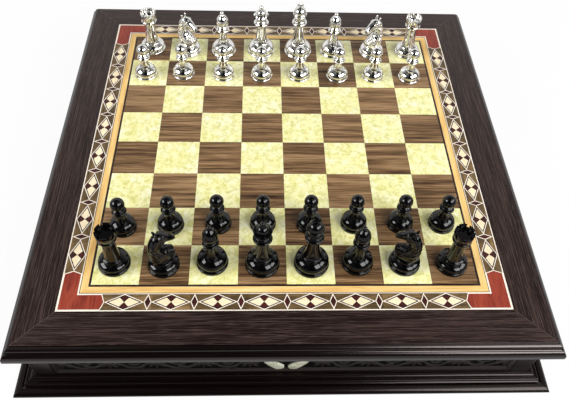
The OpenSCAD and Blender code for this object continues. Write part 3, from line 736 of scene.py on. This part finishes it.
def pearl(name, run, flakes_in, milk_in):
    """Pearl sheet with the colours of its flakes and of its milky parts. run gives its
    coordinates in millimetres."""
    material, tree, shader = new_material(name, Coat_Weight=0.5, Coat_Roughness=0.12)
    vector = run(tree)
    drift = add(tree, "TexNoise", {"Vector": vector, "Scale": 0.11, "Detail": 3.0})[1]
    warped = vector_of(tree, "ADD", vector, scaled(tree, drift, 16))
    flakes = add(tree, "TexVoronoi", {"Vector": warped, "Scale": 0.32, "Smoothness": 0.6},
                 feature="SMOOTH_F1")[0]
    clouds = add(tree, "TexNoise", {"Vector": warped, "Scale": 0.16, "Detail": 4.0, "Roughness": 0.6})[0]
    both = math_of(tree, "MULTIPLY_ADD", flakes, 0.26, math_of(tree, "MULTIPLY", clouds, 0.92))
    milk = add(tree, "TexNoise", {"Vector": vector, "Scale": 0.075, "Detail": 2.0})[0]
    milky = spread(tree, milk, 0.42, 0.66)
    feed(tree, shader, {
        "Base Color": mixed_colour(tree, milky, ramp(tree, both, flakes_in), ramp(tree, both, milk_in)),
        "Roughness": spread(tree, clouds, 0.3, 0.7, 0.22, 0.36),
    })
    return material


finish_with(pearl("pearl_squares", in_squares, PEARL_STOPS, MILKY_STOPS), "light_squares")
pearl_inlay = pearl("pearl_inlay", lambda tree: grain_run(tree, "X"), SHELL_STOPS, SHELL_STOPS)
for side in ("front", "back"):
    finish_with(pearl_inlay, f"{side}_pearl_leaves")
    soften(f"{side}_pearl_leaves", 0.8, 4)


# ---------------------------------------------------------------- maple and band
# A mitred maple border, and the marquetry band between two pale strings: diamonds
# of cream and dark red wood, red lozenges, walnut ground and red corner pieces.
PIECE_PITCH = 17.0
MAPLE_STOPS = [(0.34, (0.61, 0.34, 0.10)), (0.5, (0.83, 0.54, 0.19)), (0.66, (0.94, 0.72, 0.33))]
GROUND_STOPS = [(0.36, (0.050, 0.030, 0.010)), (0.5, (0.140, 0.086, 0.034)), (0.64, (0.270, 0.165, 0.072))]
PADAUK_STOPS = [(0.36, (0.15, 0.017, 0.009)), (0.5, (0.27, 0.038, 0.019)), (0.64, (0.36, 0.062, 0.032))]


def veneer(name, stops, run=grain_run, fibre=(20.0, 0.6), band=(60.0, 4.0), tint=None):
    """Sliced veneer under a clear polish."""
    return plain_wood(name, run, stops, fibre, band, (0.55, 0.45), (0.34, 0.46), 0.04 * MM, 0.4, tint=tint)


def piece_tint(tree):
    """Each piece of the ground comes from another sheet, paler or darker."""
    chance = chance_in(tree, grain_run(tree), (PIECE_PITCH, 1000.0, 1000.0))
    return spread(tree, chance["Value"], 0, 1, 0.62, 1.25)


for name, node, stops in (
    ("maple", "maple_border", MAPLE_STOPS),
    ("white_string", "white_stringing", [(0.3, (0.85, 0.74, 0.60)), (0.7, (0.95, 0.88, 0.78))]),
    ("cream_veneer", "band_diamonds", [(0.3, (0.82, 0.65, 0.40)), (0.7, (0.97, 0.86, 0.62))]),
    ("dark_red_veneer", "band_red_pieces", [(0.35, (0.022, 0.005, 0.004)), (0.65, (0.075, 0.013, 0.010))]),
):
    finish_with(veneer(name, stops), node)
finish_with(
    veneer("band_walnut", GROUND_STOPS, fibre=(9.0, 0.7), band=(40.0, 6.0), tint=piece_tint),
    "band_ground",
)
finish_with(
    veneer("padauk", PADAUK_STOPS, lambda tree: grain_run(tree, "Y"), (12.0, 0.8), (45.0, 7.0)),
    "corner_elbows",
)


# ---------------------------------------------------------------- felt and velvet
# Four pads of green wool felt are glued under the base. Red velvet is glued over the
# partitions of the drawers, and over a thin pad on the floor of each compartment.
FELT_STOPS = [(0.35, (0.008, 0.035, 0.012)), (0.65, (0.025, 0.085, 0.032))]
VELVET_STOPS = [(0.35, (0.045, 0.003, 0.006)), (0.65, (0.12, 0.008, 0.016))]
VELVET_SHEEN = (0.9, 0.35, 0.4, 1)


def napped(name, scale, detail, stops, depth, **sockets):
    """Cloth with a nap that lies this way and that."""
    material, tree, shader = new_material(name, **sockets)
    nap = add(tree, "TexNoise", {"Vector": grain_run(tree, "X"), "Scale": scale, "Detail": detail})[0]
    feed(tree, shader, {"Base Color": ramp(tree, nap, stops), "Normal": raised(tree, nap, depth)})
    return material


felt = napped("green_felt", 1.6, 4.0, FELT_STOPS, 0.3 * MM,
              Roughness=0.95, Sheen_Weight=0.4, Sheen_Roughness=0.6)
velvet = napped("red_velvet", 0.25, 5.0, VELVET_STOPS, 0.4 * MM,
                Roughness=0.9, Sheen_Weight=0.8, Sheen_Roughness=0.35, Sheen_Tint=VELVET_SHEEN)
finish_with(felt, "felt_feet")
finish_with(velvet, "front_drawer_partitions", "back_drawer_partitions")

PARTITION = 2.4
COMPARTMENTS = 8
PAD_THICK = 2.0
PAD_GAP = 0.1
PAD_STEPS = 10
for side, turn in (("front", 0), ("back", 180)):
    bottom = box_mm(f"{side}_drawer_bottom")[1][2]
    low, high = box_mm(f"{side}_drawer_partitions")
    near, far = sorted((abs(low[1]), abs(high[1])))
    pitch = (high[0] - low[0] + PARTITION) / COMPARTMENTS
    row_deep = (far - near - PARTITION) / 2
    wide, deep = (pitch - PARTITION) / 2 - PAD_GAP, row_deep / 2 - PAD_GAP
    points, faces = [], []
    for row in range(2):
        for i in range(COMPARTMENTS):
            x = low[0] + i * pitch + (pitch - PARTITION) / 2
            y = -far + row_deep / 2 + row * (row_deep + PARTITION)
            first = len(points)
            for j in range(PAD_STEPS + 1):
                for k in range(PAD_STEPS + 1):
                    u, v = 2 * j / PAD_STEPS - 1, 2 * k / PAD_STEPS - 1
                    crown = (1 - abs(u) ** 6) * (1 - abs(v) ** 6)
                    points.append((x + wide * u, y + deep * v, bottom + PAD_GAP + PAD_THICK * crown ** 0.6))
            for j in range(PAD_STEPS):
                for k in range(PAD_STEPS):
                    at = first + j * (PAD_STEPS + 1) + k
                    faces.append((at, at + PAD_STEPS + 1, at + PAD_STEPS + 2, at + 1))
    pads = mesh_of(f"{side}_pads", [spin(turn, "Z", 3) @ Vector(p) for p in points], faces, sharp=None)
    pads.materials.append(velvet)
    obj = placed(f"{side}_pads", pads)
    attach(obj, f"{side}_drawer")
    soften(f"{side}_drawer_partitions", 0.5)
    soften(f"{side}_drawer_sides", 0.4)


# ---------------------------------------------------------------- the pawns
# Sixteen pawns cast in metal, eight in black nickel and eight in bright nickel: a
# domed foot on a rim, a double collar and a ball, all turned smooth.
RIM_HEIGHT = 3.5


def bend(p0, p1, p2, steps=14):
    """Points after p0 along a curve to p2 that leaves and arrives towards p1."""
    shares = [i / steps for i in range(1, steps + 1)]
    return [tuple((1 - t) ** 2 * a + 2 * t * (1 - t) * b + t * t * c for a, b, c in zip(p0, p1, p2))
            for t in shares]


def bead(edge, z, size, slim):
    """A ring that stands out round a stem as far as edge, on a man r / h slim."""
    return arc(edge - size, z, size, size * slim, -90, 90, 10)


def standing(r, h, shape):
    """The outline of a man: a rim rounded above, with a groove over it, and a shape in
    shares of the foot's radius and of the height."""
    e = RIM_HEIGHT
    rim = (arc(r - 0.17 * e, 0.17 * e, 0.17 * e, 0.17 * e, -90, 0, 4)
           + arc(r - 0.32 * e, 0.60 * e, 0.32 * e, 0.34 * e, 0, 90, 7))
    return [(0, 0)] + rim + [(r - 0.46 * e, e)] + [(x * r, z * h) for x, z in shape]


def turned(name, outline, steps=72):
    """A solid of revolution; the outline goes up from the axis and ends on it."""
    rim = outline[1:-1]
    points = [(0, 0, outline[0][1]), (0, 0, outline[-1][1])]
    for x, z in rim:
        for i in range(steps):
            a = 2 * math.pi * i / steps
            points.append((x * math.cos(a), x * math.sin(a), z))
    faces = []
    last = 2 + (len(rim) - 1) * steps
    for i in range(steps):
        k = (i + 1) % steps
        faces += [(0, 2 + k, 2 + i), (1, last + i, last + k)]
        for low in range(2, last, steps):
            faces.append((low + i, low + k, low + steps + k, low + steps + i))
    return mesh_of(name, points, faces)


def size_of(node):
    """Foot radius and height of a man in millimetres."""
    low, high = box_mm(node)
    return (high[1] - low[1]) / 2, high[2] - low[2]


def stand_of(node):
    """Where a man stands: the middle of the lowest part of his foot."""
    points = [v.co for v in nodes[node].data.vertices]
    floor_z = min(p.z for p in points)
    ring = [p for p in points if p.z < floor_z + 0.2 * MM]
    return Vector(((min(p.x for p in ring) + max(p.x for p in ring)) / 2,
                   (min(p.y for p in ring) + max(p.y for p in ring)) / 2, floor_z))


black_nickel = new_material(
    "black_nickel", Roughness=0.3, Specular_IOR_Level=0.0, Base_Color=(0.0012, 0.0012, 0.0015, 1),
    Coat_Weight=1.0, Coat_Roughness=0.03, Coat_IOR=1.41,
)[0]
nickel = new_material(
    "polished_nickel", Metallic=1.0, Roughness=0.05, Base_Color=(0.76, 0.75, 0.72, 1),
)[0]


def cast_men(mesh, kinds, turns=None):
    """Puts a casting in the place of each army's men of the given names."""
    for army, finish in (("black", black_nickel), ("silver", nickel)):
        coated = mesh.copy()
        coated.name = f"{army}_{mesh.name}"
        coated.materials.clear()
        coated.materials.append(finish)
        for man in kinds:
            node = f"{army}_{man}"
            casting = placed(f"{node}_casting", coated)
            casting.location = stand_of(node)
            casting.rotation_euler.z = math.radians((turns or {}).get((army, man), 0))
            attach(casting, f"man_{node}")
            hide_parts(node)


r, h = size_of("black_pawn_1")
slim = r / h
BALL = 0.52
cast_men(turned("pawn", standing(r, h, (
    arc(0, 0.145, 0.95, 0.188, -14, 62, 24)
    + bend((0.455, 0.322), (0.33, 0.37), (0.31, 0.5))
    + bend((0.31, 0.5), (0.31, 0.55), (0.42, 0.58), 8)
    + bead(0.55, 0.61, 0.086, slim) + [(0.36, 0.64)] + bead(0.47, 0.667, 0.07, slim)
    + arc(0, 1 - BALL * slim, BALL, BALL * slim, -54, 90, 28)
))), [f"pawn_{i}" for i in range(1, 9)])


# ---------------------------------------------------------------- the rooks
# Four castings in the same metals: a tapered tower on a domed foot, with a hollow
# head and six battlements.
BATTLEMENT_GAP = 2.2


def baked(obj):
    """The mesh of an object with its modifiers; the object itself is used up."""
    made = bpy.data.meshes.new_from_object(obj.evaluated_get(bpy.context.evaluated_depsgraph_get()))
    bpy.data.objects.remove(obj)
    return made


def trimmed(name, mesh, cutters):
    """What is left of a mesh when the cutters are taken off it."""
    whole = placed(name, mesh)
    tools = [placed("cutter", cutter) for cutter in cutters]
    for tool in tools:
        cut = whole.modifiers.new("cut", "BOOLEAN")
        cut.object, cut.operation, cut.solver = tool, "DIFFERENCE", "EXACT"
    left = baked(whole)
    left.name = name
    left.shade_smooth()
    left.set_sharp_from_angle(angle=math.radians(40))
    for tool in tools:
        bpy.data.objects.remove(tool)
    return left


def block(size, middle, turn):
    """A box in millimetres round a middle, then turned."""
    signs = [(x, y, z) for x in (-1, 1) for y in (-1, 1) for z in (-1, 1)]
    points = [turn @ (Vector(middle) + Vector(size) * Vector(sign) / 2) for sign in signs]
    faces = [(0, 1, 3, 2), (4, 6, 7, 5), (0, 4, 5, 1), (2, 3, 7, 6), (0, 2, 6, 4), (1, 5, 7, 3)]
    return mesh_of("block", points, faces)


r, h = size_of("black_left_rook")
slim = r / h
# The rooks and the knights stand on the same domed foot
tower_foot = arc(0, 0.125, 0.95, 0.108, -24, 50, 24)
tower = turned("tower", standing(r, h, (
    tower_foot + bead(0.66, 0.234, 0.082, slim)
    + bend((0.54, 0.252), (0.43, 0.36), (0.4, 0.68))
    + bend((0.4, 0.68), (0.41, 0.74), (0.53, 0.757), 8)
    + bead(0.6, 0.782, 0.068, slim) + [(0.545, 0.809)]
    + bend((0.545, 0.809), (0.575, 0.85), (0.615, 0.912), 6)
    + [(0.615, 0.988), (0.6, 1), (0, 1)]
)))
hollow = [(0, 0.905), (0.41, 0.905), (0.44, 0.92), (0.455, 1.1), (0, 1.1)]
well = turned("well", [(x * r, z * h) for x, z in hollow])
gaps = [block((2 * r, BATTLEMENT_GAP, h), (0, 0, 1.43 * h), spin(60 * i, "Z", 3)) for i in range(3)]
cast_men(trimmed("rook", tower, [well] + gaps), ["left_rook", "right_rook"])


# ---------------------------------------------------------------- the bishops
# Four castings with a collar and a pointed mitre that has a slanted cut. The cut
# faces inwards, as the bishop does.
MITRE_CUT = 1.0
TOP_BALL = 2.3


def topped(outline, h):
    """An outline that ends in the small ball on a bishop's and on a queen's head."""
    return outline + arc(0, h - TOP_BALL, TOP_BALL, TOP_BALL, -45, 90, 14)


r, h = size_of("black_left_bishop")
slim = r / h
mitre = turned("mitre", topped(standing(r, h, (
    arc(0, 0.12, 0.95, 0.162, -18, 62, 24)
    + bend((0.43, 0.275), (0.31, 0.33), (0.29, 0.48))
    + bend((0.29, 0.48), (0.29, 0.53), (0.41, 0.548), 8)
    + bead(0.52, 0.575, 0.082, slim) + [(0.33, 0.603)] + bead(0.435, 0.626, 0.078, slim)
    + bend((0.27, 0.655), (0.555, 0.69), (0.48, 0.785))
    + bend((0.48, 0.785), (0.41, 0.872), (0.15, 0.915))
)), h))
slit = block((r, r, MITRE_CUT), (r / 2, 0, MITRE_CUT / 2), spin(-50, "Y", 3))
slit.transform(Matrix.Translation(Vector((0.2 * r, 0, 0.83 * h)) * MM))
cast_men(trimmed("bishop", mitre, [slit]), ["left_bishop", "right_bishop"],
         {("black", "right_bishop"): 180, ("silver", "right_bishop"): 180})


# ---------------------------------------------------------------- the queens
# Two castings, one in each metal, that wear a coronet: a cup with eight scallops cut
# in its edge, round a dome with a ball.
r, h = size_of("black_queen")
slim = r / h
coronet = turned("coronet", topped(standing(r, h, (
    arc(0, 0.105, 0.955, 0.133, -22, 54, 24) + bead(0.6, 0.236, 0.07, slim)
    + bend((0.52, 0.253), (0.34, 0.34), (0.325, 0.57))
    + bend((0.325, 0.57), (0.325, 0.615), (0.43, 0.626), 8)
    + bead(0.55, 0.648, 0.076, slim) + bead(0.42, 0.692, 0.062, slim)
    + bend((0.33, 0.715), (0.35, 0.76), (0.547, 0.82))
    + [(0.5, 0.833)] + arc(0, 0.838, 0.36, 0.083, 0, 70, 14)
)), h))


def rod(size, length, start, turn):
    """A round bar that lies outwards from the axis, from start along +X, then turned."""
    bar = turned("rod", [(0, 0), (size, 0), (size, length), (0, length)], 32)
    bar.transform(spin(turn, "Z") @ Matrix.Translation(Vector(start) * MM) @ spin(90, "Y"))
    return bar


scallops = [rod(0.034 * h, 0.3 * r, (0.45 * r, 0, 0.846 * h), 45 * i + 22.5) for i in range(8)]
cast_men(trimmed("queen", coronet, scallops), ["queen"])


# ---------------------------------------------------------------- the kings
# Two castings, one in each metal, with a domed crown over two rings, and a flared
# cross on the dome.
r, h = size_of("black_king")
slim = r / h
crown = turned("king", standing(r, h, (
    arc(0, 0.1, 0.955, 0.128, -22, 54, 24) + bead(0.6, 0.226, 0.074, slim)
    + bend((0.52, 0.242), (0.34, 0.33), (0.325, 0.55))
    + bend((0.325, 0.55), (0.325, 0.59), (0.42, 0.597), 8)
    + bead(0.537, 0.618, 0.08, slim) + bead(0.44, 0.662, 0.068, slim)
    + bend((0.34, 0.682), (0.345, 0.71), (0.37, 0.73), 6)
    + bead(0.455, 0.752, 0.06, slim) + bead(0.495, 0.788, 0.066, slim)
    + arc(0, 0.81, 0.435, 0.1, 0, 88, 16) + [(0, 0.91)]
)))
ARM = 0.05 * h
CROSS_THICK = 1.8


def join_to(mesh, other, face_outwards=False):
    """Adds another mesh to a mesh."""
    joined = bmesh.new()
    joined.from_mesh(mesh)
    joined.from_mesh(other)
    if face_outwards:
        bmesh.ops.recalc_face_normals(joined, faces=joined.faces)
    joined.to_mesh(mesh)
    joined.free()


star = []
for i in range(4):
    turn = Matrix.Rotation(math.radians(-90 * i), 2)
    star += [turn @ Vector(p) for p in ((-0.6, 0.6), (-0.4 * ARM, ARM), (0.4 * ARM, ARM))]
count = len(star)
points = [(p.x, y, p.y + h - ARM) for y in (-CROSS_THICK / 2, CROSS_THICK / 2) for p in star]
faces = [tuple(range(count)), tuple(reversed(range(count, 2 * count)))]
faces += [(i, i + count, (i + 1) % count + count, (i + 1) % count) for i in range(count)]
join_to(crown, mesh_of("cross", points, faces), face_outwards=True)
cast_men(crown, ["king"])


# ---------------------------------------------------------------- the knights
# Four castings: a horse's head with a combed mane on a turned foot. All look inwards
# and turn a little towards the other army.
KNIGHT_TURN = 34
MANE_END = 0.62
CHEST_END = 0.26
AROUND = 64
r = size_of("black_left_rook")[0]
h = size_of("black_left_knight")[1]
# Sections of the neck and head, as shares of the height: a point of the mane or the
# nose, the one across from it on the chest or the jaw, and half the width
SECTIONS = np.array([
    (-0.180, 0.240, 0.185, 0.240, 0.150), (-0.200, 0.340, 0.200, 0.330, 0.148),
    (-0.210, 0.440, 0.130, 0.410, 0.132), (-0.212, 0.540, 0.045, 0.490, 0.114),
    (-0.205, 0.630, 0.000, 0.560, 0.100), (-0.185, 0.720, -0.010, 0.620, 0.094),
    (-0.145, 0.800, 0.000, 0.665, 0.094), (-0.085, 0.870, 0.015, 0.690, 0.098),
    (-0.015, 0.915, 0.040, 0.700, 0.098), (0.065, 0.905, 0.080, 0.700, 0.092),
    (0.135, 0.865, 0.120, 0.690, 0.082), (0.195, 0.810, 0.160, 0.670, 0.072),
    (0.245, 0.755, 0.200, 0.650, 0.066), (0.290, 0.680, 0.250, 0.640, 0.050),
]) * h


def through(rows, steps):
    """Rows between the given ones, along a smooth curve through them."""
    padded = np.vstack([2 * rows[0] - rows[1], rows, 2 * rows[-1] - rows[-2]])
    made = []
    for i in range(len(rows) - 1):
        p0, p1, p2, p3 = padded[i:i + 4]
        for t in np.arange(steps) / steps:
            made.append(0.5 * (2 * p1 + (p2 - p0) * t + (2 * p0 - 5 * p1 + 4 * p2 - p3) * t * t
                               + (3 * p1 - p0 - 3 * p2 + p3) * t ** 3))
    return np.array(made + [rows[-1]])


def held(value):
    """A value held between 0 and 1."""
    return min(1, max(0, value))


def blunt(value, power):
    """Squares off the round of a section."""
    return math.copysign(abs(value) ** power, value)


fine = through(SECTIONS, 7)
rings = []
for i, (bx, bz, fx, fz, wide) in enumerate(fine):
    along = i / (len(fine) - 1)
    for k in range(AROUND):
        a = 2 * math.pi * k / AROUND - math.pi
        depth, side = blunt(math.cos(a), 0.9), blunt(math.sin(a), 0.8)
        # The mane is a raised crest from the withers to the ears, combed back in locks
        crest = held((math.cos(a) - 0.30) / 0.2) * held(along / 0.05) * held((MANE_END - along) / 0.04)
        lock = 0.5 + 0.5 * math.sin(8 * abs(a) + 75 * along)
        # The chest is fluted from the throat down
        flute = held((-math.cos(a) - 0.2) / 0.3) * held((CHEST_END - along) / 0.06)
        grow = 1 + crest * (0.04 + 0.05 * lock) - 0.035 * flute * (0.5 + 0.5 * math.cos(11 * a))
        rings.append((
            (bx + fx) / 2 + (bx - fx) / 2 * depth * grow,
            wide * side * (1 + crest * (0.08 + 0.08 * lock)),
            (bz + fz) / 2 + (bz - fz) / 2 * depth * grow,
        ))
faces = [tuple(range(AROUND)), tuple(len(rings) - 1 - i for i in range(AROUND))]
for low in range(0, len(rings) - AROUND, AROUND):
    for i in range(AROUND):
        k = (i + 1) % AROUND
        faces.append((low + i, low + AROUND + i, low + AROUND + k, low + k))
horse = bmesh.new()
horse.from_mesh(mesh_of("neck", rings, faces))


def lump(place, size, tilt=0.0, lean=0.0):
    """Adds an egg-shaped lump in shares of the height, tilted about Y and leant about X."""
    put = (Matrix.Translation(Vector(place) * h * MM) @ spin(lean, "X") @ spin(tilt, "Y")
           @ Matrix.Diagonal((*(Vector(size) * h * MM), 1)))
    bmesh.ops.create_uvsphere(horse, u_segments=24, v_segments=16, radius=1, matrix=put)


for side in (-1, 1):
    # Ear, eyeball, brow, cheek and nostril
    lump((-0.052, side * 0.050, 0.935), (0.026, 0.018, 0.062), -16, -side * 8)
    lump((0.055, side * 0.088, 0.850), (0.020, 0.014, 0.016))
    lump((0.050, side * 0.084, 0.876), (0.040, 0.018, 0.012), 22)
    lump((0.015, side * 0.068, 0.765), (0.060, 0.042, 0.062))
    lump((0.245, side * 0.046, 0.715), (0.026, 0.020, 0.020), 40)
# The ribs of the chest
for i in range(5):
    lump((0.035 + 0.040 * i, 0, 0.395 - 0.014 * i),
         (0.030, 0.132 - 0.012 * abs(i - 1), 0.128 - 0.013 * abs(i - 1)), 16)
loose = bpy.data.meshes.new("horse")
horse.to_mesh(loose)
horse.free()
whole = placed("horse", loose)
fused = whole.modifiers.new("fuse", "REMESH")
fused.mode, fused.voxel_size, fused.adaptivity = "VOXEL", 0.4 * MM, 0.0
eased = whole.modifiers.new("ease", "SMOOTH")
eased.factor, eased.iterations = 0.5, 2
knight = turned("knight", standing(r, h, tower_foot + bead(0.68, 0.236, 0.082, r / h) + [(0, 0.26)]))
join_to(knight, baked(whole))
knight.shade_smooth()
knight.set_sharp_from_angle(angle=math.radians(50))
cast_men(knight, ["left_knight", "right_knight"], {
    ("black", "left_knight"): KNIGHT_TURN, ("black", "right_knight"): 180 - KNIGHT_TURN,
    ("silver", "left_knight"): -KNIGHT_TURN, ("silver", "right_knight"): 180 + KNIGHT_TURN,
})


# ---------------------------------------------------------------- the sizes
# The box of the whole object, as it is with all its pieces.
low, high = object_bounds()
